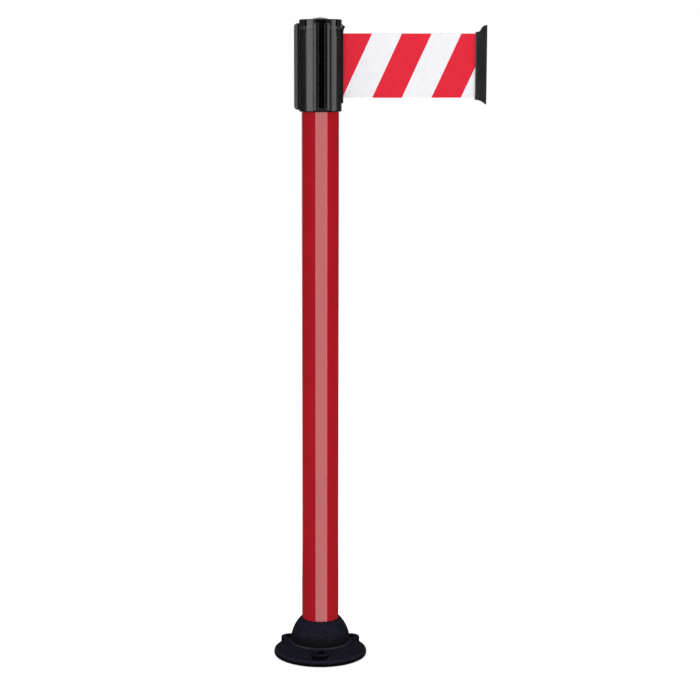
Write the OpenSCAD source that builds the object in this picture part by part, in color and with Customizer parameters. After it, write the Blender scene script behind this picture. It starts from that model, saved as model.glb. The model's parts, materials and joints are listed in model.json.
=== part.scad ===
/* [Post] */
// Overall height, floor to the top of the head's cap
post_h = 1030; // [950:1:1100]
// Outer diameter of the tube
tube_d = 60; // [58:0.5:62]
// Wall of the tube
tube_wall = 1.5; // [1.2:0.1:2]
// How deep the tube stands in the head's skirt
skirt_h = 16; // [14:0.5:20]

/* [Base] */
// Outer diameter of the base
base_d = 152; // [148:1:170]
// Height of the upright rim
rim_h = 4.5; // [3:0.5:6]
// Rounding of the rim's shoulder
rim_round = 3.5; // [2:0.5:4]
// Radius where the cone meets the dome
dome_foot_r = 49.2; // [48:0.1:50]
// Height where the cone meets the dome
dome_foot_z = 20.2; // [19:0.1:22]
// Height of the base where the tube comes out
dome_top_z = 61.5; // [60:0.5:64]
// Radius of the dome's outline arc
dome_arc_r = 60.5; // [58:0.5:63]
// Circle of the floor screws
lug_pcd = 116; // [112:0.5:118]
// Diameter of a screw lug
lug_d = 30; // [26:0.5:30]
// Height of a screw lug
lug_h = 18.8; // [17:0.1:21]
// Floor screw hole diameter
lug_hole_d = 7; // [6:0.5:9]
// Number of floor screws
lug_count = 3; // [3:1:3]
// How far the front lug stands round from the front of the head, in degrees
lug_turn = -3; // [-10:1:10]

/* [Head] */
// Outer diameter of the head
head_d = 68; // [68:0.5:70]
// Height of the head with its cap
head_h = 143; // [141:0.5:146]
// Height of the cap
cap_h = 15; // [14:0.5:16]
// Bore of the belt chamber
chamber_d = 56; // [55:0.5:56]
// Diameter of the dome plug in the cap
plug_d = 31.6; // [28:0.2:32]
// How far the dome plug stands above the cap
plug_rise = 3.2; // [2.5:0.1:5]

/* [Receivers] */
// Width of a belt receiver
receiver_w = 24; // [24:0.5:26]
// How far a receiver's face stands from the post's axis
receiver_reach = 41; // [40.5:0.5:42]
// Width of a receiver's mouth
mouth_w = 9; // [8.5:0.1:10]

/* [Belt] */
// Width of the belt
belt_w = 100; // [96:1:100]
// Thickness of the belt
belt_t = 0.6; // [0.5:0.05:0.8]
// Length of the whole belt
belt_length = 3000; // [2500:50:3000]
// Belt showing between the outlet and the end clip, as stored
belt_out = 209; // [150:1:300]
// Radius of the spool's core
core_r = 8; // [8:0.5:9]

/* [End clip] */
// Length of the end clip along the belt
clip_l = 17; // [16.5:0.5:20]
// Thickness of the clip's web
clip_web_t = 8; // [7.5:0.1:8.2]
// Width of the clip's cross bar
clip_bar_w = 18; // [16:0.5:18.5]
// Thickness of the clip's cross bar
clip_bar_t = 3.2; // [3:0.1:3.6]

/* [Hidden] */
$fn = 96;

fit = 0.05;              // radial gap of a close fit
loose = 0.1;             // radial gap between parts that are slid together
eps = 1;                 // overshoot of a cut past a face

// base and foot
base_r = base_d / 2;
tube_r = tube_d / 2;
tube_in_r = tube_r - tube_wall;
socket_r = tube_r + loose;
socket_z = 20;           // floor of the tube's socket
bolt_r = 5;
bolt_hole_r = bolt_r + 0.25;
bolt_head_r = 8;
bolt_head_z = 2;
bolt_head_h = 8;
washer_r = 11;
washer_t = 2;
recess_r = 14;           // recess for the bolt's head under the base
recess_z = bolt_head_z + bolt_head_h + washer_t;
plug_foot_h = 30;
nut_r = 9.8;             // across corners
nut_h = 8;
nut_z = socket_z + 18;
dome_arc_z = 19.5;
dome_arc_x = dome_foot_r - 0.3 - dome_arc_r * cos(asin((dome_foot_z + 1.2 - dome_arc_z) / dome_arc_r));
cone_lean = 63;          // lean of the cone's normal above level

// head, from the top down
head_r = head_d / 2;
head_z = post_h - head_h;            // lower edge of the head
cap_z = post_h - cap_h;              // joint between the housing and the cap
tube_top_z = head_z + skirt_h;
flange_t = 3.5;                      // adapter flange that closes the tube
chamber_z = tube_top_z + flange_t;   // floor of the belt chamber
chamber_r = chamber_d / 2;
belt_z = chamber_z + 2;              // lower edge of the belt
belt_top_z = belt_z + belt_w;
plate_z = belt_top_z + 1.5;          // underside of the top plate
plate_t = 3;
plate_r = head_r - 2.1;
outlet_x = head_r + 1.8;             // face of the belt outlet
outlet_wall = 1.8;                   // wall in front of the outlet's guides
outlet_w = 14;
outlet_low_z = belt_z - 8.5;
guide_x = 32;                        // the two guide pins stand side by side here
guide_y = 3;
guide_r = 1.8;
guide_z = belt_z - 1.4;
guide_h = belt_w + 5.4;
crown_z = post_h - 10;               // groove round the cap
groove_d = 1.5;
recess_w = 16.6;                     // opening in the cap behind each receiver
screw_turns = [33, 147, 213, 327];   // bearings of the top plate's screws
notch_turns = [45, 135, 225, 315];   // bearings of the notches round the cap

// adapter and spring
grub_r = 2;
grub_z = head_z + 8;
adapter_r = tube_in_r - loose;
adapter_in_r = adapter_r - 2.9;
adapter_z = tube_top_z - 63;
barrel_r = adapter_in_r - loose;
barrel_wall = 1.5;
barrel_z = adapter_z + 6;
barrel_h = 49;
lid_t = 2;
spring_strip_t = 0.5;
spring_strip_w = 38;
spring_turns = 9;
spring_in_r = 8.4;
spring_out_r = barrel_r - barrel_wall - spring_strip_t - 0.3;

// spindle and spool
spindle_r = 4;
bush_r = 6;
bush_h = 5;
spindle_z = barrel_z - 4;
spindle_top_z = plate_z + bush_h - 1;
flange_r = chamber_r - 1.2;
spool_flange_t = 1;
wound = belt_length - belt_out;
roll_r = sqrt(core_r * core_r + wound * belt_t / PI);

// end clip
clip_x = outlet_x + belt_out;
clip_end_x = clip_x + clip_l;
clip_low_z = belt_z - 3.5;
clip_high_z = belt_top_z + 2.6;
clip_drop = 6.9;                     // how far the outer corner falls below the web's lower edge
clip_lift = 10.4;                    // how far the outer corner stands above its upper edge
clip_grip = 6;                       // length of belt held inside the clip
clip_rod_x = clip_x + clip_grip + 1.6;
clip_screw_x = clip_x + 11.2;
clip_screw_dz = [-34, 0, 34];
clip_mid_z = belt_z + belt_w / 2;
clip_knee = 0.42;                    // share of the clip's length where its upper edge turns over
clip_knee_lift = 0.18;               // share of the lift reached there
clip_rod_r = 1.5;
clip_cover_t = 2;                    // thickness of the clamp cover, sunk into the web
clip_cover_l = 11.6;

function arc(cx, cy, r, a0, a1, n) =
    [for (i = [0:n]) let (a = a0 + (a1 - a0) * i / n) [cx + r * cos(a), cy + r * sin(a)]];

// share of the clip's lift at share t of its length: hollow up to the knee, then rounded over
function crown_lift(t) = t < clip_knee
    ? clip_knee_lift * pow(t / clip_knee, 4)
    : 1 - (1 - clip_knee_lift) * pow((1 - t) / (1 - clip_knee), 2.6);

// a tube, standing at z
module ring(r_out, r_in, z, h) {
    translate([0, 0, z]) difference() {
        cylinder(h = h, r = r_out);
        translate([0, 0, -eps]) cylinder(h = h + 2 * eps, r = r_in);
    }
}

module rod(r, z, h) {
    translate([0, 0, z]) cylinder(h = h, r = r);
}

// a flat outline in X and Z, given a thickness in Y about the middle plane
module upright(t) {
    translate([0, t / 2, 0]) rotate([90, 0, 0]) linear_extrude(height = t) children();
}

// ---------------------------------------------------------------- base and foot

module lug_places() {
    for (i = [0:lug_count - 1])
        rotate([0, 0, lug_turn - 90 + i * 360 / lug_count]) translate([lug_pcd / 2, 0, 0]) children();
}

module base() {
    dome_a0 = asin((dome_foot_z + 1.2 - dome_arc_z) / dome_arc_r);
    dome_a1 = asin((dome_top_z - 1 - dome_arc_z) / dome_arc_r);
    outline = concat(
        [[recess_r, 0], [base_r - 0.8, 0], [base_r, 0.8]],
        arc(base_r - rim_round, rim_h, rim_round, 0, cone_lean, 6),
        arc(dome_foot_r, dome_foot_z, 1.2, -20, 80, 5),
        arc(dome_arc_x, dome_arc_z, dome_arc_r, dome_a0, dome_a1, 14),
        [[socket_r + 1, dome_top_z], [socket_r, dome_top_z], [socket_r, socket_z],
         [bolt_hole_r, socket_z], [bolt_hole_r, recess_z], [recess_r, recess_z]]
    );
    hollow = [[20, -eps], [base_r - 8, -eps], [base_r - 8, 2.5], [46, 13.5], [20, 13.5]];
    color("#1c1c28") difference() {
        union() {
            rotate_extrude() polygon(outline);
            lug_places() {
                cylinder(h = lug_h - 1, r = lug_d / 2);
                translate([0, 0, lug_h - 1]) cylinder(h = 1, r1 = lug_d / 2, r2 = lug_d / 2 - 1);
            }
        }
        difference() {
            rotate_extrude() polygon(hollow);
            lug_places() cylinder(h = lug_h, r = lug_d / 2 - 1);
        }
        lug_places() {
            translate([0, 0, -eps]) cylinder(h = lug_h + 2 * eps, r = lug_hole_d / 2);
            translate([0, 0, lug_h - 6]) cylinder(h = 6 + eps, r = 7);
        }
    }
}

module foot_plug() {
    color("#303034") difference() {
        rod(tube_in_r - loose, socket_z, plug_foot_h);
        rod(bolt_hole_r, socket_z - eps, plug_foot_h);
        translate([0, 0, nut_z]) cylinder(h = plug_foot_h, r = nut_r + 0.1, $fn = 6);
        for (i = [0:5]) rotate([0, 0, 60 * i + 30])
            translate([18.5, 0, socket_z + 6]) cylinder(h = plug_foot_h, r = 5);
    }
}

module base_bolt() {
    color("silver") difference() {
        union() {
            rod(bolt_head_r, bolt_head_z, bolt_head_h);
            rod(bolt_r, bolt_head_z, nut_z + nut_h + 3 - bolt_head_z);
        }
        translate([0, 0, bolt_head_z - eps]) cylinder(h = 5 + eps, r = 4.6, $fn = 6);
    }
}

module base_washer() {
    color("silver") ring(washer_r, bolt_r + fit, bolt_head_z + bolt_head_h, washer_t);
}

module captive_nut() {
    color("silver") translate([0, 0, nut_z]) difference() {
        cylinder(h = nut_h, r = nut_r, $fn = 6);
        translate([0, 0, -eps]) cylinder(h = nut_h + 2 * eps, r = bolt_r + fit);
    }
}

module post_tube() {
    color("#a51c26") difference() {
        ring(tube_r, tube_in_r, socket_z, tube_top_z - socket_z);
        grub_places(grub_r + fit, tube_r + eps);
    }
}

// ---------------------------------------------------------------- adapter and spring

module grub_places(r, reach) {
    for (a = [45, 135]) rotate([0, 0, a])
        translate([adapter_in_r - fit, 0, grub_z]) rotate([0, 90, 0])
            cylinder(h = reach - adapter_in_r + fit, r = r);
}

module head_adapter() {
    color("#2a2a2e") difference() {
        union() {
            rod(adapter_r, adapter_z, tube_top_z - adapter_z);
            rod(tube_r, tube_top_z, flange_t);
        }
        rod(adapter_in_r, barrel_z, chamber_z - barrel_z + eps);
        rod(bush_r + 2, adapter_z - eps, 20);
        grub_places(grub_r + fit, tube_r);
    }
}

module grub_screws() {
    color("dimgray") intersection() {
        difference() {
            grub_places(grub_r, head_r - 0.5);
            for (a = [45, 135]) rotate([0, 0, a])
                translate([head_r - 2.5, 0, grub_z]) rotate([0, 90, 0]) cylinder(h = 4, r = 1, $fn = 6);
        }
        ring(head_r, adapter_in_r, head_z, skirt_h);
    }
}

module spring_barrel() {
    color("#8a8a86") difference() {
        rod(barrel_r, barrel_z, barrel_h);
        rod(barrel_r - barrel_wall, barrel_z + 2, barrel_h);
        rod(bush_r, barrel_z - eps, 4);
    }
}

// flat strip wound as an even spiral from the arbor out to the barrel
module power_spring() {
    steps = spring_turns * 24;
    pitch = (spring_out_r - spring_in_r) / spring_turns;
    inner = [for (i = [0:steps]) let (a = i * 15, r = spring_in_r + pitch * i / 24) [r * cos(a), r * sin(a)]];
    outer = [for (i = [steps:-1:0]) let (a = i * 15, r = spring_in_r + spring_strip_t + pitch * i / 24)
        [r * cos(a), r * sin(a)]];
    color("#5c6470") translate([0, 0, barrel_z + 5]) linear_extrude(height = spring_strip_w)
        polygon(concat(inner, outer));
}

module barrel_lid() {
    color("#8a8a86") ring(barrel_r, 10, barrel_z + barrel_h, lid_t);
}

module lower_bush() {
    color("ivory") ring(bush_r - 0.02, spindle_r + fit, barrel_z, bush_h);
}

// ---------------------------------------------------------------- head

// block that a receiver fills on the side of the head, wide by an extra gap
module receiver_seat(gap) {
    translate([head_r - 1.5 - gap, -receiver_w / 2 - gap, head_z + 3 - gap])
        cube([20, receiver_w + 2 * gap, head_h - 3 - 6 + 2 * gap]);
}

module head_housing() {
    wall = [[tube_r + loose, head_z], [head_r - 1.5, head_z], [head_r - 0.4, head_z + 0.5],
        [head_r, head_z + 1.6], [head_r, cap_z], [plate_r + loose, cap_z], [plate_r + loose, plate_z],
        [chamber_r, plate_z], [chamber_r, chamber_z], [tube_r + loose, chamber_z]];
    color("#26262a") difference() {
        rotate_extrude() polygon(wall);
        for (a = [90, 180, 270]) rotate([0, 0, a]) receiver_seat(0);
        translate([chamber_r - 2, -outlet_w / 2 - fit, outlet_low_z - loose])
            cube([20, outlet_w + 2 * fit, head_h]);
        for (a = notch_turns) rotate([0, 0, a]) translate([head_r - 1.6, 0, 0]) rotate([90, 0, 90])
            linear_extrude(height = 4) polygon([[0, cap_z - 18], [1.4, cap_z + eps], [-1.4, cap_z + eps]]);
        for (a = screw_turns) rotate([0, 0, a]) translate([chamber_r + 2, 0, 0]) rod(1.2, plate_z - 8, 9);
        grub_places(grub_r + fit, head_r + eps);
    }
}

module receiver(turn) {
    low = head_z + 3;
    high = post_h - 6;
    back_x = head_r - 1.5;
    back_t = 1.6;
    channel_w = 19.6;
    lip_x = receiver_reach - 2.1;
    half = mouth_w / 2;
    flare = 2 * half;
    mouth = [[lip_x - 2, -half], [lip_x, -half], [receiver_reach, -flare], [receiver_reach + eps, -flare],
        [receiver_reach + eps, flare], [receiver_reach, flare], [lip_x, half], [lip_x - 2, half]];
    color("#222226") rotate([0, 0, turn]) difference() {
        upright(receiver_w) polygon(concat(
            [[back_x, high], [back_x, low]],
            arc(receiver_reach - 5, low + 5, 5, -90, 0, 8),
            arc(receiver_reach - 5, high - 5, 5, 0, 90, 8)));
        translate([back_x + back_t, -channel_w / 2, low + 3]) cube([4.6, channel_w, high]);
        translate([0, 0, low + 3]) linear_extrude(height = high) polygon(mouth);
        translate([back_x - eps, -recess_w / 2, cap_z + 1]) cube([back_t + 2 * eps, recess_w, cap_h]);
    }
}

module receiver_front() {
    receiver(270);
}

module receiver_left() {
    receiver(180);
}

module receiver_back() {
    receiver(90);
}

module guide_places(r) {
    for (s = [-1, 1]) translate([guide_x, s * guide_y, guide_z]) cylinder(h = guide_h, r = r);
}

module belt_outlet() {
    low = outlet_low_z;
    tip_z = post_h - 10.7;
    curl_z = belt_top_z + 1;
    face = concat(
        [[tube_r + 0.3, low], [outlet_x - 1, low], [outlet_x, low + 1.5], [outlet_x, curl_z]],
        [for (i = [1:5]) [outlet_x + 3 * pow(i / 5, 2), curl_z + (tip_z - curl_z) * i / 5]],
        [[head_r + 1.6, tip_z + 1.4], [head_r + 0.2, tip_z + 3.2], [head_r + 0.2, cap_z],
         [chamber_r + 1, cap_z], [chamber_r + 1, chamber_z + 0.2], [tube_r + 0.3, chamber_z + 0.2]]);
    color("#2c2c30") difference() {
        upright(outlet_w) polygon(face);
        translate([chamber_r, -5, belt_z - 1]) cube([outlet_x - outlet_wall - chamber_r, 10, belt_w + 2]);
        translate([chamber_r, -2, belt_z - 1]) cube([20, 4, belt_w + 2]);
        guide_places(guide_r + fit);
    }
}

module outlet_guides() {
    color("silver") guide_places(guide_r);
}

module top_plate() {
    color("#303034") difference() {
        union() {
            rod(plate_r, plate_z, plate_t);
            rod(9, plate_z, 11);
        }
        rod(bush_r, plate_z - eps, bush_h + eps);
        rod(2.05, plate_z + bush_h + 1, 11);
        translate([chamber_r, -outlet_w / 2 - loose, plate_z - eps])
            cube([10, outlet_w + 2 * loose, plate_t + 2 * eps]);
        for (a = screw_turns) rotate([0, 0, a]) translate([chamber_r + 2, 0, 0]) rod(1.3, plate_z - eps, 5);
    }
}

module plate_screws() {
    color("silver") for (a = screw_turns) rotate([0, 0, a]) translate([chamber_r + 2, 0, 0]) {
        rod(1.15, plate_z - 7, 7 + plate_t);
        rod(1.8, plate_z + plate_t, 1.6);
    }
}

module upper_bush() {
    color("ivory") ring(bush_r - 0.02, spindle_r + fit, plate_z, bush_h);
}

module head_cap() {
    body = [[9.2, cap_z], [9.2, plate_z + 11.1], [2.3, plate_z + 11.1], [2.3, post_h - 7], [5.3, post_h - 7],
        [5.3, post_h - 4], [plug_d / 2 + loose, post_h - 4], [plug_d / 2 + loose, post_h],
        [head_r - 1, post_h], [head_r, post_h - 1], [head_r, crown_z], [head_r - groove_d, crown_z],
        [head_r - groove_d, crown_z - 0.8], [head_r, crown_z - 0.8], [head_r, cap_z + 0.5],
        [head_r - 0.5, cap_z]];
    color("#26262a") difference() {
        rotate_extrude() polygon(body);
        for (a = notch_turns) rotate([0, 0, a]) translate([head_r - 2.5, -2.3, crown_z]) cube([5, 4.6, 20]);
        for (a = [90, 180, 270]) rotate([0, 0, a]) {
            receiver_seat(loose);
            translate([head_r - 4.5, -recess_w / 2, crown_z]) cube([10, recess_w, 20]);
        }
        translate([head_r, -outlet_w / 2 - loose, cap_z - eps]) cube([10, outlet_w + 2 * loose, 30]);
        rod(plate_r, cap_z - eps, plate_z + plate_t + 2 - cap_z + eps);
    }
}

module cap_screw() {
    color("silver") difference() {
        union() {
            rod(2, plate_z + bush_h + 2, post_h - 7 - plate_z - bush_h - 2);
            rod(5, post_h - 7, 2.6);
        }
        translate([0, 0, post_h - 6]) cylinder(h = 4, r = 2.3, $fn = 6);
    }
}

module cap_plug() {
    plug_r = plug_d / 2;
    sphere_r = (plug_r * plug_r + plug_rise * plug_rise) / (2 * plug_rise);
    color("#8c8c90") intersection() {
        rod(plug_r, post_h - 4, 4 + plug_rise + eps);
        translate([0, 0, post_h + plug_rise - sphere_r]) sphere(r = sphere_r);
    }
}

// ---------------------------------------------------------------- spool

module spindle() {
    color("silver") difference() {
        rod(spindle_r, spindle_z, spindle_top_z - spindle_z);
        drive_pin_place(1.5 + fit);
        ring(spindle_r + eps, 3.4, barrel_z - 2.2, 1.3);
    }
}

module drive_pin_place(r) {
    translate([0, core_r + eps, belt_z + 12]) rotate([90, 0, 0]) cylinder(h = 2 * core_r + 2 * eps, r = r);
}

module spool_core() {
    color("#d8d4c8") difference() {
        ring(core_r - fit, spindle_r + 0.02, belt_z, belt_w);
        drive_pin_place(1.5 + fit);
    }
}

module spool_top_flange() {
    color("#d8d4c8") ring(flange_r, spindle_r + 0.02, belt_top_z, spool_flange_t);
}

module spool_bottom_flange() {
    color("#d8d4c8") ring(flange_r, spindle_r + 0.02, belt_z - spool_flange_t, spool_flange_t);
}

module drive_pin() {
    color("dimgray") intersection() {
        drive_pin_place(1.5);
        rod(core_r - 0.4, belt_z, 30);
    }
}

module belt_roll() {
    color("#d03040") ring(roll_r, core_r, belt_z + 0.1, belt_w - 0.2);
}

module spring_arbor() {
    color("#6a6a6e") ring(spring_in_r - 0.6, spindle_r + 0.02, barrel_z + bush_h + 0.5, 41);
}

module circlip() {
    color("dimgray") difference() {
        ring(bush_r, 3.42, barrel_z - 2.15, 1.2);
        translate([0, -1.5, barrel_z - 3]) cube([10, 3, 3]);
    }
}

// ---------------------------------------------------------------- belt and end clip

// belt from the roll, round the guide and out to the clip
module belt_strap() {
    bend_x = guide_x - 1;
    gap_r = roll_r + belt_t / 2 + 0.3;
    turn = acos(gap_r / bend_x);
    off = gap_r * [cos(turn), -sin(turn)];
    side = [cos(turn), -sin(turn)] * belt_t / 2;
    half = belt_t / 2;
    shift = half * tan((90 - turn) / 2);
    color("#e82e40") translate([0, 0, belt_z]) linear_extrude(height = belt_w) polygon([
        off + side, [bend_x + shift, -half], [clip_x + clip_grip, -half],
        [clip_x + clip_grip, half], [bend_x - shift, half], off - side]);
}

module clip_outline() {
    steps = 14;
    keel = [for (i = [0:steps]) let (t = i / steps)
        [clip_x + clip_l * t, clip_low_z - clip_drop * pow(t, 2.2)]];
    crown = [for (i = [steps:-1:0]) let (t = i / steps)
        [clip_x + clip_l * t, clip_high_z + clip_lift * crown_lift(t)]];
    polygon(concat(keel, crown));
}

// bores across the clip, from y = from towards the back of the clip
module clip_screw_places(from, r, h) {
    for (dz = clip_screw_dz) translate([clip_screw_x, from, clip_mid_z + dz]) rotate([90, 0, 0])
        cylinder(h = h, r = r);
}

module clip_body() {
    web = clip_web_t / 2;
    color("#2c2e2d") difference() {
        union() {
            upright(clip_web_t) clip_outline();
            intersection() {
                upright(clip_bar_w) clip_outline();
                translate([clip_end_x - clip_bar_t, -clip_bar_w, 0])
                    cube([clip_bar_t, 2 * clip_bar_w, 2 * post_h]);
            }
        }
        translate([clip_x - eps, -0.7, belt_z - 0.5]) cube([clip_grip + eps + 1, 1.4, belt_w + 1]);
        translate([clip_rod_x, 0, belt_z - 0.5]) cylinder(h = belt_w + 1, r = clip_rod_r + loose);
        translate([clip_x + 1.5 - loose, -web - eps, belt_z + 3.1 - loose])
            cube([clip_cover_l + 2 * loose, clip_cover_t + eps, belt_w - 6.2 + 2 * loose]);
        clip_screw_places(5, 1.3, 8);
        clip_screw_places(5, 2.5, 2.2);
    }
}

module clip_cover() {
    color("#303231") difference() {
        translate([clip_x + 1.5, -clip_web_t / 2, belt_z + 3.1])
            cube([clip_cover_l, clip_cover_t, belt_w - 6.2]);
        clip_screw_places(-1, 1.3, 2.4);
    }
}

module belt_rod() {
    color("silver") translate([clip_rod_x, 0, belt_z]) cylinder(h = belt_w, r = clip_rod_r);
}

module clip_screws() {
    color("dimgray") {
        clip_screw_places(3.9, 1.25, 7);
        clip_screw_places(3.9, 2.4, 1);
    }
}

base();
foot_plug();
base_bolt();
base_washer();
captive_nut();
post_tube();
head_adapter();
grub_screws();
spring_barrel();
power_spring();
barrel_lid();
lower_bush();
head_housing();
receiver_front();
receiver_left();
receiver_back();
belt_outlet();
outlet_guides();
top_plate();
plate_screws();
upper_bush();
head_cap();
cap_screw();
cap_plug();
spindle();
spool_core();
spool_top_flange();
spool_bottom_flange();
drive_pin();
belt_roll();
spring_arbor();
circlip();
belt_strap();
clip_body();
clip_cover();
belt_rod();
clip_screws();
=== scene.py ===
import json
import math

import bpy
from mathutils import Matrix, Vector

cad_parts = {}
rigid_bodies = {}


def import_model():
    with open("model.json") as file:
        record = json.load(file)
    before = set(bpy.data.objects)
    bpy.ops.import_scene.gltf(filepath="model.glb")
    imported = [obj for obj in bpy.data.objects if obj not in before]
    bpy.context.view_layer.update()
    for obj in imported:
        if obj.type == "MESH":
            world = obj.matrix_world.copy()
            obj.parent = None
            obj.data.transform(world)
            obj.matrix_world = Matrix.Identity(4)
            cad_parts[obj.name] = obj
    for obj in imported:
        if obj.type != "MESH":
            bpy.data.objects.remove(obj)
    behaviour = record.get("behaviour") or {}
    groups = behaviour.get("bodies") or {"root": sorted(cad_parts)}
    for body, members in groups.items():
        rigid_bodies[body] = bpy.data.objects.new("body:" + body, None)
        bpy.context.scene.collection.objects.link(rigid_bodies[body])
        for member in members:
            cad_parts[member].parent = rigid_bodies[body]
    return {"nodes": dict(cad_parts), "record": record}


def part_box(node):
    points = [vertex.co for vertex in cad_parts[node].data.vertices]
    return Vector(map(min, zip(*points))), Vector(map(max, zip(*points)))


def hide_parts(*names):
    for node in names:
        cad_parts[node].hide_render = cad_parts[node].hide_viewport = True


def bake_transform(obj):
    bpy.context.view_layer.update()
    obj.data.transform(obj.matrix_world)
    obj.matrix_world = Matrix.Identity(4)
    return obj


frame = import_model()
for spare in [o for o in bpy.data.objects if o.name in ("Cube", "Light", "Camera")]:
    bpy.data.objects.remove(spare)
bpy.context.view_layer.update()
nodes = frame["nodes"]
record = frame["record"]
MM = 0.001


# ---------------------------------------------------------------- places, from the frame

BASE_LOW, BASE_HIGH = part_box("base")
CAP_LOW, CAP_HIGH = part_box("head_cap")
STRAP_LOW, STRAP_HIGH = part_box("belt_strap")
CLIP_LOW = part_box("clip_body")[0]
HOUSING_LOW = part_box("head_housing")[0]
ROLL_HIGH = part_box("belt_roll")[1]
PLUG_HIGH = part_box("cap_plug")[1]

OUTLET_X = CAP_HIGH.x + 1.8 * MM            # face that the belt comes out of
BELT_JOINT = next(joint for joint in record["behaviour"]["joints"] if joint["name"] == "belt_pull")
GUIDE_X = BELT_JOINT["deforming_nodes"][0]["fixed_end_x_m"]     # the belt bends here, between its guide pins
DOME_FOOT_R = 49.2 / 76 * BASE_HIGH.x       # ring where the base's dome stands on its cone
RIM_RING_R = BASE_HIGH.x - 2.2 * MM         # ring along the shoulder of the base's rim


# ---------------------------------------------------------------- material building blocks

def principled(name, colour, roughness, **sockets):
    """A material with its Principled node, ready for textures to be wired in."""
    made = bpy.data.materials.new(name)
    made.use_nodes = True
    shader = shader_of(made)
    shader.inputs["Base Color"].default_value = (*colour, 1)
    shader.inputs["Roughness"].default_value = roughness
    for socket, value in sockets.items():
        shader.inputs[socket.replace("_", " ")].default_value = value
    return made


def shader_of(made):
    return made.node_tree.nodes["Principled BSDF"]


def add(made, kind, **settings):
    node = made.node_tree.nodes.new(kind)
    for key, value in settings.items():
        setattr(node, key, value)
    return node


def wire(made, source, target):
    made.node_tree.links.new(source, target)


def place(made):
    """Object coordinates, which are metres in the part's frame because its objects sit at the origin."""
    return add(made, "ShaderNodeTexCoord").outputs["Object"]


def coordinates(made, axes):
    """Object coordinates along the named axes, such as "XZ"."""
    parts = add(made, "ShaderNodeSeparateXYZ")
    wire(made, place(made), parts.inputs["Vector"])
    return [parts.outputs[axis] for axis in axes]


def noise(made, size, detail, stretch=(1, 1, 1)):
    """Noise whose features are about size metres across, drawn out along an axis by stretch."""
    mapping = add(made, "ShaderNodeMapping")
    mapping.inputs["Scale"].default_value = tuple(1 / (size * s) for s in stretch)
    wire(made, place(made), mapping.inputs["Vector"])
    texture = add(made, "ShaderNodeTexNoise")
    texture.inputs["Scale"].default_value = 1.0
    texture.inputs["Detail"].default_value = detail
    wire(made, mapping.outputs["Vector"], texture.inputs["Vector"])
    return texture.outputs[0]


def ramp(made, source, low, high):
    """Colour low where source is 0.3 or less, high where it is 0.7 or more."""
    node = add(made, "ShaderNodeValToRGB")
    for element, at, colour in zip(node.color_ramp.elements, (0.3, 0.7), (low, high)):
        element.position = at
        element.color = (*colour, 1)
    wire(made, source, node.inputs["Fac"])
    return node.outputs["Color"]


def span(made, source, low, high, start=0.0, end=1.0):
    """source taken from start..end to low..high."""
    node = add(made, "ShaderNodeMapRange")
    for socket, value in (("From Min", start), ("From Max", end), ("To Min", low), ("To Max", high)):
        node.inputs[socket].default_value = value
    wire(made, source, node.inputs["Value"])
    return node.outputs["Result"]


def mix(made, factor, first, second, blend="MIX"):
    """Colour first where factor is 0, second where it is 1. Each is a socket or a plain value."""
    node = add(made, "ShaderNodeMix", data_type="RGBA", blend_type=blend)
    pairs = ((node.inputs["Factor"], factor), (node.inputs[6], first), (node.inputs[7], second))
    for socket, value in pairs:
        if isinstance(value, tuple):
            socket.default_value = (*value, 1)
        elif isinstance(value, float):
            socket.default_value = value
        else:
            wire(made, value, socket)
    return node.outputs[2]


def calc(made, operation, first, second=0.0):
    """A Math node's result. Each operand is a socket or a number."""
    node = add(made, "ShaderNodeMath", operation=operation)
    for socket, value in zip(node.inputs, (first, second)):
        if isinstance(value, (int, float)):
            socket.default_value = value
        else:
            wire(made, value, socket)
    return node.outputs["Value"]


def distance_to(made, source, target):
    return calc(made, "ABSOLUTE", calc(made, "SUBTRACT", source, target))


def axis_distance(made):
    """Distance from the post's axis."""
    x, y = coordinates(made, "XY")
    return calc(made, "SQRT", calc(made, "ADD", calc(made, "MULTIPLY", x, x), calc(made, "MULTIPLY", y, y)))


def off_axis(made):
    """Distances from the post's middle planes, across X and across Y."""
    x, y = coordinates(made, "XY")
    return calc(made, "ABSOLUTE", x), calc(made, "ABSOLUTE", y)


def relief(made, *layers):
    """Bump from several heights in turn; each layer is (height socket, depth in metres, strength)."""
    normal = None
    for height, depth, strength in layers:
        bump = add(made, "ShaderNodeBump")
        bump.inputs["Distance"].default_value = depth
        bump.inputs["Strength"].default_value = strength
        wire(made, height, bump.inputs["Height"])
        if normal is not None:
            wire(made, normal, bump.inputs["Normal"])
        normal = bump.outputs["Normal"]
    wire(made, normal, shader_of(made).inputs["Normal"])


def patchy(made, size, least):
    """Uneven strength, from least to 1, in patches about size metres across, for the lightened edges and
    rings.
    """
    return span(made, noise(made, size, 5), least, 1.0, 0.35, 0.6)


def scaled(colour, share):
    return tuple(part * share for part in colour)


# ---------------------------------------------------------------- rubbing, painted highlights and painted shade

def edge_wear_and_highlight(made, colour, lighter_tone, width=1.1 * MM):
    """colour, lightened patchily along the edges over a width in metres: partly rubbing, partly a painted
    highlight where rounded edges would catch the light.
    """
    rounded = add(made, "ShaderNodeBevel", samples=6)
    rounded.inputs["Radius"].default_value = width
    agree = add(made, "ShaderNodeVectorMath", operation="DOT_PRODUCT")
    wire(made, rounded.outputs["Normal"], agree.inputs[0])
    wire(made, add(made, "ShaderNodeNewGeometry").outputs["Normal"], agree.inputs[1])
    at_edge = span(made, agree.outputs["Value"], 1.0, 0.0, 0.86, 0.995)
    return mix(made, calc(made, "MULTIPLY", at_edge, patchy(made, 6 * MM, 0.3)), colour, lighter_tone)


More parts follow.
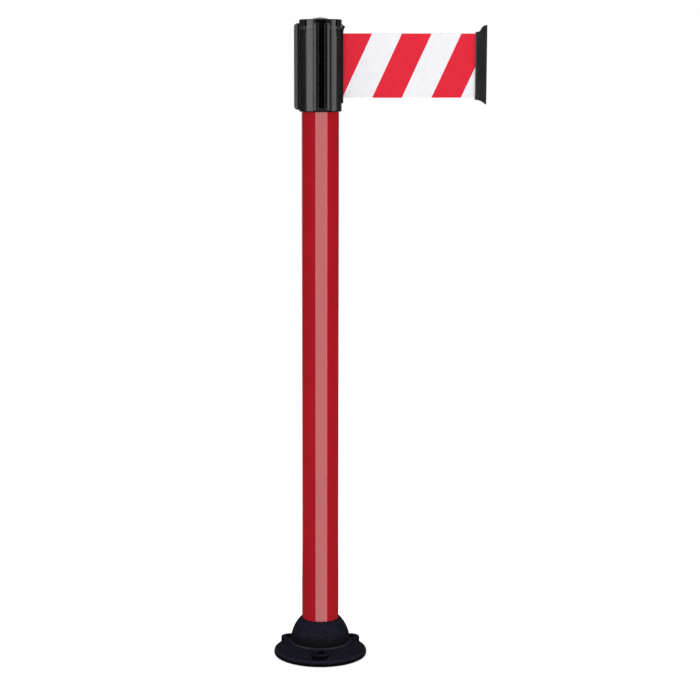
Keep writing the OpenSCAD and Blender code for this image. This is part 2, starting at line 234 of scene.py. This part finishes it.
def ring_wear_and_highlight(made, colour, lighter_tone):
    """colour, lightened patchily along the base's two raised rings, the dome's foot and the rim's shoulder:
    partly rubbing, partly a painted highlight for the light those rings would catch.
    """
    radius = axis_distance(made)
    rings = 0.0
    for ring, half_width in ((DOME_FOOT_R, 1.1 * MM), (RIM_RING_R, 0.9 * MM)):
        away = distance_to(made, radius, ring)
        rings = calc(made, "ADD", span(made, away, 1.0, 0.0, 0.0, half_width), rings)
    return mix(made, calc(made, "MULTIPLY", rings, patchy(made, 8 * MM, 0.35)), colour, lighter_tone)


def lips_painted_light(made, colour, lighter_tone):
    """colour, lightened on a receiver's outer lips as painted light, fading to the plain colour on the faces
    nearer the housing.
    """
    lip_start, lip_full = CAP_HIGH.x + 2.0 * MM, CAP_HIGH.x + 2.8 * MM
    lip_inner = 8.9 * MM                        # the lips lie further than this from the receiver's middle
    wide, deep = off_axis(made)
    reach = span(made, calc(made, "MAXIMUM", wide, deep), 0.0, 1.0, lip_start, lip_full)
    outside = calc(made, "GREATER_THAN", calc(made, "MINIMUM", wide, deep), lip_inner)
    return mix(made, calc(made, "MULTIPLY", reach, outside), colour, lighter_tone)


def ledge(made, colour, lighter_tone):
    """colour, with a painted highlight on the cap's lower ledge and painted shade, nearly black, in a band
    round the groove above it.
    """
    ledge_low, ledge_high = CAP_LOW.z + 0.6 * MM, CAP_LOW.z + 3.2 * MM
    groove_z, groove_half = CAP_LOW.z + 4.6 * MM, 1.0 * MM
    z = coordinates(made, "Z")[0]
    # Painted highlight: the ledge band takes the lighter colour.
    on_ledge = calc(made, "MULTIPLY", calc(made, "GREATER_THAN", z, ledge_low),
                    calc(made, "LESS_THAN", z, ledge_high))
    raised = mix(made, on_ledge, colour, lighter_tone)
    # Painted shade: a band 2 mm tall round the groove goes nearly black.
    in_groove = calc(made, "LESS_THAN", distance_to(made, z, groove_z), groove_half)
    return mix(made, in_groove, raised, (0.0008, 0.0008, 0.001))


def sunk(made):
    """1 in the grooves and notches that lie behind the head's outer skin, which are painted dark as shade."""
    skin, top = CAP_HIGH.x - 0.2 * MM, CAP_HIGH.z - 0.2 * MM
    behind = calc(made, "LESS_THAN", axis_distance(made), skin)
    below = calc(made, "LESS_THAN", coordinates(made, "Z")[0], top)
    return calc(made, "MULTIPLY", behind, below)


def slotted(made):
    """1 inside a receiver's slot, which is painted nearly black as shade."""
    slot_half, slot_floor = 4.6 * MM, HOUSING_LOW.z + 5.8 * MM
    inside = calc(made, "LESS_THAN", calc(made, "MINIMUM", *off_axis(made)), slot_half)
    raised = calc(made, "GREATER_THAN", coordinates(made, "Z")[0], slot_floor)
    return calc(made, "MULTIPLY", inside, raised)


# ---------------------------------------------------------------- materials

def lacquer():
    """Glossy red lacquer on steel tube: a clear coat over a faintly uneven colour."""
    made = principled("red_lacquer", (0.33, 0.005, 0.01), 0.5, Specular_IOR_Level=0.0, Coat_Weight=1.0,
                      Coat_Roughness=0.035, Coat_IOR=1.8)
    shader = shader_of(made)
    cloud = noise(made, 50 * MM, 3, (1, 1, 4))
    wire(made, ramp(made, cloud, (0.33, 0.004, 0.009), (0.37, 0.005, 0.012)), shader.inputs["Base Color"])
    streaks = noise(made, 4 * MM, 6, (1, 1, 6))
    wire(made, span(made, streaks, 0.42, 0.58), shader.inputs["Roughness"])
    orange_peel = noise(made, 2.2 * MM, 2)
    swell = noise(made, 30 * MM, 1)
    relief(made, (orange_peel, 0.05 * MM, 0.05), (swell, 0.2 * MM, 0.04))
    return made


def casting():
    """Blue-black enamel on a rough casting, lightened on the edges and rings by rubbing and painted
    highlights, and painted shade down the rim's steep side.
    """
    made = principled("base_enamel", (0.012, 0.012, 0.02), 0.5, Specular_IOR_Level=0.12)
    shader = shader_of(made)
    mottle = noise(made, 3.5 * MM, 6)
    colour = ramp(made, mottle, (0.0055, 0.0055, 0.013), (0.019, 0.019, 0.033))
    colour = edge_wear_and_highlight(made, colour, (0.1, 0.1, 0.12), 2 * MM)
    colour = ring_wear_and_highlight(made, colour, (0.05, 0.05, 0.065))
    # Painted shade: faces that turn from up to sideways, down the rim's side, fade to nearly black.
    normal = add(made, "ShaderNodeSeparateXYZ")
    wire(made, add(made, "ShaderNodeNewGeometry").outputs["Normal"], normal.inputs["Vector"])
    level = span(made, normal.outputs["Z"], 0.0, 1.0, 0.05, 0.4)
    wire(made, mix(made, level, (0.002, 0.002, 0.004), colour), shader.inputs["Base Color"])
    wire(made, span(made, noise(made, 2 * MM, 4), 0.36, 0.6), shader.inputs["Roughness"])
    sand, lumps = noise(made, 1.1 * MM, 4), noise(made, 12 * MM, 2)
    relief(made, (sand, 0.3 * MM, 0.3), (lumps, 0.6 * MM, 0.15))
    return made


def moulded(name, colour, roughness, edge_tone=None, specular=0.5, painted_light=None, light_share=1.0, hollow=None):
    """Moulded plastic: fine grain, faint flow clouds, edges lightened by rubbing and painted highlights,
    places painted lighter as light, hollows painted dark as shade.
    """
    made = principled(name, colour, roughness, Specular_IOR_Level=specular)
    shader = shader_of(made)
    look = ramp(made, noise(made, 20 * MM, 4, (1, 1, 3)), scaled(colour, 0.8), scaled(colour, 1.25))
    # Painted light: chosen places, such as a ledge or a receiver's outer lips, are lightened to the colour
    # times a share.
    if painted_light:
        look = painted_light(made, look, scaled(colour, light_share))
    if edge_tone:
        look = edge_wear_and_highlight(made, look, edge_tone)
    # Painted shade: the hollows go to 0.08 of the colour.
    if hollow:
        look = mix(made, hollow(made), look, scaled(colour, 0.08))
    wire(made, look, shader.inputs["Base Color"])
    streaks = noise(made, 6 * MM, 5, (1, 1, 5))
    wire(made, span(made, streaks, roughness * 0.8, roughness * 1.25), shader.inputs["Roughness"])
    grain, waves = noise(made, 0.6 * MM, 3), noise(made, 15 * MM, 2)
    relief(made, (grain, 0.04 * MM, 0.2), (waves, 0.2 * MM, 0.06))
    return made


def dome():
    """Grey plug with a darker middle."""
    made = moulded("plug_grey", (0.25, 0.25, 0.27), 0.3)
    colour = shader_of(made).inputs["Base Color"]
    rim = colour.links[0].from_socket
    centre = span(made, axis_distance(made), 1, 0, 0.35 * PLUG_HIGH.x, 0.75 * PLUG_HIGH.x)
    wire(made, mix(made, centre, rim, (0.11, 0.11, 0.12)), colour)
    return made


def metal(name, colour, roughness, along=(8, 8, 1)):
    """Bare or plated metal with fine drawn marks."""
    made = principled(name, colour, roughness, Metallic=1.0)
    shader = shader_of(made)
    marks = noise(made, 0.8 * MM, 4, along)
    wire(made, ramp(made, marks, scaled(colour, 0.82), colour), shader.inputs["Base Color"])
    wire(made, span(made, marks, roughness * 0.75, roughness * 1.3), shader.inputs["Roughness"])
    relief(made, (marks, 0.05 * MM, 0.2))
    return made


PULL = BELT_JOINT["range_m"][1]             # how far the belt pulls out from rest
STRIPE_PAIRS = 29                           # red and white pairs in a full pull: a whole number
STRIPE = PULL / STRIPE_PAIRS / 2            # width of one stripe along the belt
STRIPE_LEAN = 46.6 * MM                     # how far a stripe's top stands ahead of its foot
FIRST_EDGE = 45.6 * MM                      # first red to white edge, along the belt's top from the outlet
WARP, WEFT = 1.3 * MM, 0.8 * MM             # spacing of the threads across the belt and along it


def stripes(made, x, z):
    """1 on a red stripe, 0 on a white one."""
    lean = STRIPE_LEAN / (STRAP_HIGH.z - STRAP_LOW.z)
    foot = calc(made, "MULTIPLY", calc(made, "SUBTRACT", z, STRAP_HIGH.z), lean)
    along = calc(made, "SUBTRACT", calc(made, "SUBTRACT", x, OUTLET_X + FIRST_EDGE), foot)
    phase = calc(made, "FRACT", calc(made, "DIVIDE", along, 2 * STRIPE))
    return calc(made, "GREATER_THAN", phase, 0.5)


def weave(made, x, z):
    """Height of the crossing threads, from -1 to 1."""
    warp = calc(made, "SINE", calc(made, "MULTIPLY", z, 2 * math.pi / WARP))
    weft = calc(made, "SINE", calc(made, "MULTIPLY", x, 2 * math.pi / WEFT))
    return calc(made, "MULTIPLY", warp, weft)


def webbing():
    """Woven polyester belt, printed with leaning red and white stripes."""
    made = principled("belt_webbing", (0.8, 0.03, 0.05), 0.8, Sheen_Weight=0.04, Sheen_Roughness=0.4,
                      Specular_IOR_Level=0.15)
    shader = shader_of(made)
    x, z = coordinates(made, "XZ")
    cloud = noise(made, 12 * MM, 4)
    red = ramp(made, cloud, (0.72, 0.019, 0.040), (0.78, 0.023, 0.047))
    white = ramp(made, cloud, (0.84, 0.84, 0.875), (0.89, 0.89, 0.92))
    printed = mix(made, stripes(made, x, z), white, red)
    threads = weave(made, x, z)
    shade = span(made, threads, 0.93, 1.03, -1, 1)
    wire(made, mix(made, 1.0, printed, shade, "MULTIPLY"), shader.inputs["Base Color"])
    wire(made, span(made, noise(made, 1 * MM, 3), 0.62, 0.85), shader.inputs["Roughness"])
    fibres = noise(made, 1.2 * MM, 3, (4, 1, 1))
    relief(made, (threads, 0.08 * MM, 0.35), (fibres, 0.06 * MM, 0.2))
    return made


MATERIALS = {
    "tube": lacquer(),
    "base": casting(),
    # Head: edges rubbed and painted with highlights, painted highlight on the cap's lower ledge, painted
    # shade in its grooves.
    "head": moulded("head_black", (0.0095, 0.0095, 0.011), 0.2, edge_tone=(0.1, 0.1, 0.105),
                    painted_light=ledge, light_share=4, hollow=sunk),
    # Receivers: edges rubbed and painted with highlights, painted light on the outer lips, painted shade in
    # the slots.
    "receiver": moulded("receiver_black", (0.0075, 0.0075, 0.0082), 0.34, edge_tone=(0.14, 0.14, 0.145),
                        specular=0.2, painted_light=lips_painted_light, light_share=10.5, hollow=slotted),
    "clip": moulded("clip_black", (0.021, 0.0228, 0.0222), 0.45, edge_tone=(0.07, 0.07, 0.07), specular=0.2),
    "inner_plastic": moulded("inner_black", (0.03, 0.03, 0.033), 0.5),
    "plug": dome(),
    "spool": moulded("spool_natural", (0.68, 0.65, 0.58), 0.5),
    "bush": moulded("bush_nylon", (0.82, 0.8, 0.72), 0.4),
    "barrel": metal("barrel_alloy", (0.55, 0.55, 0.54), 0.35),
    "steel": metal("zinc_steel", (0.6, 0.6, 0.61), 0.3),
    "spring_steel": metal("blued_steel", (0.2, 0.23, 0.28), 0.3, (1, 1, 8)),
    "belt_red": webbing(),
}


# ---------------------------------------------------------------- belt

def mesh_object(name, points, faces, smooth):
    mesh = bpy.data.meshes.new(name)
    mesh.from_pydata([tuple(p) for p in points], [], faces)
    mesh.validate()
    made = bpy.data.objects.new(name, mesh)
    bpy.context.scene.collection.objects.link(made)
    for polygon in mesh.polygons:
        polygon.use_smooth = smooth
    return made


def belt_route():
    """The belt's middle line seen from above: off the roll, round the guide, and straight into the clip."""
    roll_r = ROLL_HIGH.x + 0.6 * MM
    ease = 2.5 * MM                             # the bend starts and ends this far from its corner
    columns = 96
    turn = math.acos(roll_r / GUIDE_X)
    start = Vector((roll_r * math.cos(turn), -roll_r * math.sin(turn)))
    corner = Vector((GUIDE_X, 0))
    a = corner + (start - corner).normalized() * ease
    b = corner + Vector((ease, 0))
    off_roll = [start.lerp(a, i / 4) for i in range(5)]
    bend = [a * (1 - t) ** 2 + corner * 2 * t * (1 - t) + b * t * t for t in (0.2, 0.4, 0.6, 0.8)]
    straight = [Vector((b.x + (STRAP_HIGH.x - b.x) * i / columns, 0)) for i in range(columns + 1)]
    return off_roll + bend + straight


def belt_section():
    """Heights across the belt, and half its thickness at each: the two hems are a little thicker."""
    half, hem_half = 0.3 * MM, 0.42 * MM
    hem = 3.2 * MM
    low, high = STRAP_LOW.z, STRAP_HIGH.z
    rise = [0, 0.4 * MM, 1.2 * MM, 2.6 * MM, hem]
    inside = [low + hem + (high - low - 2 * hem) * i / 10 for i in range(1, 10)]
    heights = [low + r for r in rise] + inside + [high - r for r in reversed(rise)]
    edge = [0.55 * hem_half, hem_half, hem_half, hem_half, half]
    return heights, edge + [half] * len(inside) + edge[::-1]


def belt_points(line, heights, halves):
    """Both faces of the belt, with a faint waviness between the outlet and the clip."""
    slack = 0.5 * MM
    points = []
    for k, p in enumerate(line):
        ahead = line[min(k + 1, len(line) - 1)] - line[max(k - 1, 0)]
        normal = Vector((-ahead.y, ahead.x)).normalized()
        free = max(0.0, min(1.0, (p.x - OUTLET_X) / (CLIP_LOW.x - OUTLET_X)))
        swing = slack * math.sin(math.pi * free) ** 2
        for side in (-1, 1):
            for z, half in zip(heights, halves):
                wave = swing * math.sin(9 * free + 14 * (z - STRAP_LOW.z))
                q = p + normal * (side * half + wave)
                points.append((q.x, q.y, z))
    return points


def belt_faces(stations, rows):
    """Quads round each stretch between two stations, and across the belt's two ends."""
    faces = []
    ring = list(range(rows)) + [rows + i for i in reversed(range(rows))]
    for k in range(stations - 1):
        a, b = k * 2 * rows, (k + 1) * 2 * rows
        for i, j in zip(ring, ring[1:] + ring[:1]):
            faces.append((a + i, b + i, b + j, a + j))
    for k, flip in ((0, False), (stations - 1, True)):
        near = k * 2 * rows
        far = near + rows
        for i in range(rows - 1):
            quad = (near + i, near + i + 1, far + i + 1, far + i)
            faces.append(quad[::-1] if flip else quad)
    return faces


def belt():
    """The pulled-out belt as one thin woven strip, from the roll, round the guide, to inside the clip."""
    line = belt_route()
    heights, halves = belt_section()
    points = belt_points(line, heights, halves)
    made = mesh_object("belt_webbing", points, belt_faces(len(line), len(heights)), True)
    made.data.materials.append(MATERIALS["belt_red"])
    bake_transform(made)
    made.visible_glossy = False
    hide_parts("belt_strap")


belt()


# ---------------------------------------------------------------- CAD nodes: materials and softened edges

RECEIVERS = ("receiver_front", "receiver_left", "receiver_back", "belt_outlet")
EDGE_RADIUS_MM = {
    "head_housing": 0.35, "head_cap": 0.4, "receiver_front": 0.6, "receiver_left": 0.6,
    "receiver_back": 0.6, "belt_outlet": 0.4, "clip_body": 0.5, "clip_cover": 0.3, "cap_plug": 0.3,
}


def finish_node(node, name, slot):
    """Gives a CAD node its material; the receivers and the outlet share the head's slot but look drier."""
    node.data.materials.clear()
    node.data.materials.append(MATERIALS["receiver" if name in RECEIVERS else slot])


def round_edges(node, radius):
    bevel = node.modifiers.new("rounded", "BEVEL")
    bevel.width = radius
    bevel.segments = 3
    bevel.limit_method = "ANGLE"
    bevel.angle_limit = math.radians(32)
    bevel.harden_normals = False
    bevel.use_clamp_overlap = True


def cast(node, voxel, rounds):
    """Softens every edge and inner corner, as a sand casting has them."""
    remesh = node.modifiers.new("cast", "REMESH")
    remesh.mode = "VOXEL"
    remesh.voxel_size = voxel
    remesh.use_smooth_shade = True
    soften = node.modifiers.new("soften", "SMOOTH")
    soften.factor = 0.5
    soften.iterations = rounds


for row in record["subparts"]:
    finish_node(nodes[row["node"]], row["node"], row["material_slot"])
for name, radius_mm in EDGE_RADIUS_MM.items():
    round_edges(nodes[name], radius_mm * MM)
cast(nodes["base"], 0.8 * MM, 2)


# ---------------------------------------------------------------- floor

FLOOR_HALF = 6                              # metres from the post to the floor's edge
FLOOR_GAP = 0.2 * MM                        # the floor lies this far under the base


def floor():
    h = FLOOR_HALF
    made = mesh_object("floor", [(-h, -h, 0), (h, -h, 0), (h, h, 0), (-h, h, 0)], [(0, 1, 2, 3)], False)
    made.location.z = BASE_LOW.z - FLOOR_GAP
    pale = principled("pale_floor", (0.86, 0.86, 0.86), 0.6)
    wire(pale, ramp(pale, noise(pale, 0.4, 3), (0.85, 0.85, 0.85), (0.87, 0.87, 0.87)),
         shader_of(pale).inputs["Base Color"])
    made.data.materials.append(pale)
    made.visible_glossy = False
    return made


# ---------------------------------------------------------------- camera

BEARING = math.radians(-3)                  # the camera stands this far round from the front
DISTANCE = 2.848                            # from the post's axis, level
EYE = 0.962                                 # height above the floor
PITCH = math.radians(9.18)                  # how far it looks down
FOCAL = 92.1                                # mm on a 36 mm sensor
SHIFT_X, SHIFT_Y = 0.0424, 0.0041           # shares of the picture's width


def camera():
    lens = bpy.data.cameras.new("camera")
    lens.lens = FOCAL
    lens.sensor_width = 36
    lens.shift_x = SHIFT_X
    lens.shift_y = SHIFT_Y
    made = bpy.data.objects.new("camera", lens)
    bpy.context.scene.collection.objects.link(made)
    made.location = (math.sin(BEARING) * DISTANCE, -math.cos(BEARING) * DISTANCE, EYE)
    made.rotation_euler = (math.pi / 2 - PITCH, 0, BEARING)
    bpy.context.scene.camera = made


# ---------------------------------------------------------------- light

PANEL_POWER = math.pi                       # watts of a square metre of panel for each unit of radiance
WORLD_ROOM = 0.25                           # how bright the world is to matt surfaces
WORLD_GLOSS = 0.06                          # how bright it is in reflections
WORLD_SEEN = 1.0                            # how bright it is to the camera


def backdrop():
    """White to the camera, a dim even room to matt surfaces, and nearly dark in reflections."""
    world = bpy.data.worlds.new("studio")
    world.use_nodes = True
    tree = world.node_tree
    background = tree.nodes["Background"]
    background.inputs["Color"].default_value = (1, 1, 1, 1)
    rays = tree.nodes.new("ShaderNodeLightPath")
    choices = []
    for kind, value in (("Is Glossy Ray", WORLD_GLOSS), ("Is Camera Ray", WORLD_SEEN)):
        choice = tree.nodes.new("ShaderNodeMix")
        choice.data_type = "FLOAT"
        tree.links.new(rays.outputs[kind], choice.inputs["Factor"])
        choice.inputs[3].default_value = value
        choices.append(choice)
    in_reflections, to_camera = choices
    in_reflections.inputs[2].default_value = WORLD_ROOM
    tree.links.new(in_reflections.outputs[0], to_camera.inputs[2])
    tree.links.new(to_camera.outputs[0], background.inputs["Strength"])
    bpy.context.scene.world = world
    bpy.context.scene.view_settings.view_transform = "Standard"


def link_light(made, targets, state):
    """Makes a light reach only the targets (INCLUDE), or everything but them (EXCLUDE)."""
    reached = bpy.data.collections.new(made.name + "_lights")
    for target in targets:
        reached.objects.link(target)
    for entry in reached.collection_objects:
        entry.light_linking.link_state = state
    made.light_linking.receiver_collection = reached


def floor_light(ground):
    """A wide soft sun that only the floor takes, so that the floor is evenly white up to the horizon."""
    light = bpy.data.lights.new("floor_sun", "SUN")
    light.energy = 3.4
    light.angle = math.radians(120)
    made = bpy.data.objects.new("floor_sun", light)
    bpy.context.scene.collection.objects.link(made)
    link_light(made, [ground], "INCLUDE")


def panel(name, bearing, distance, height, size, radiance, seen_by="both", only=(), never=()):
    """A soft panel that faces the post, or the floor where distance is 0. It may light or skip some nodes."""
    light = bpy.data.lights.new(name, "AREA")
    light.shape = "RECTANGLE"
    light.size, light.size_y = size
    light.energy = radiance * PANEL_POWER * size[0] * size[1]
    made = bpy.data.objects.new(name, light)
    bpy.context.scene.collection.objects.link(made)
    turn = math.radians(bearing)
    at = Vector((math.sin(turn) * distance, -math.cos(turn) * distance, height))
    made.location = at
    facing = Vector((0, 0, -1)) if distance == 0 else Vector((-at.x, -at.y, 0))
    made.rotation_euler = facing.to_track_quat("-Z", "Y").to_euler()
    made.visible_glossy = seen_by != "diffuse"
    made.visible_diffuse = seen_by != "glossy"
    if only:
        link_light(made, [nodes[node] for node in only], "INCLUDE")
    if never:
        link_light(made, [nodes[node] for node in never], "EXCLUDE")


def studio(ground):
    head = ["head_housing", "head_cap"]
    backdrop()
    floor_light(ground)
    panel("front_fill", bearing=-3, distance=4.2, height=0.9, size=(7.4, 5.2), radiance=1.12,
          seen_by="diffuse", never=["post_tube"])
    panel("front_gloss", bearing=3.6, distance=4.2, height=0.0, size=(6.3, 8.4), radiance=1.72,
          only=["post_tube"])
    panel("left_gloss", bearing=-61, distance=1.6, height=0.95, size=(1.13, 1.5), radiance=3.0,
          seen_by="glossy", only=head)
    panel("right_gloss", bearing=75, distance=1.6, height=0.95, size=(0.9, 1.5), radiance=2.2,
          seen_by="glossy", only=head)
    panel("overhead", bearing=0, distance=0, height=2.6, size=(3.2, 3.2), radiance=0.7, seen_by="diffuse")
    panel("back_fill", bearing=180, distance=4.2, height=0.9, size=(5.0, 4.0), radiance=1.1, never=["base"])


camera()
studio(floor())
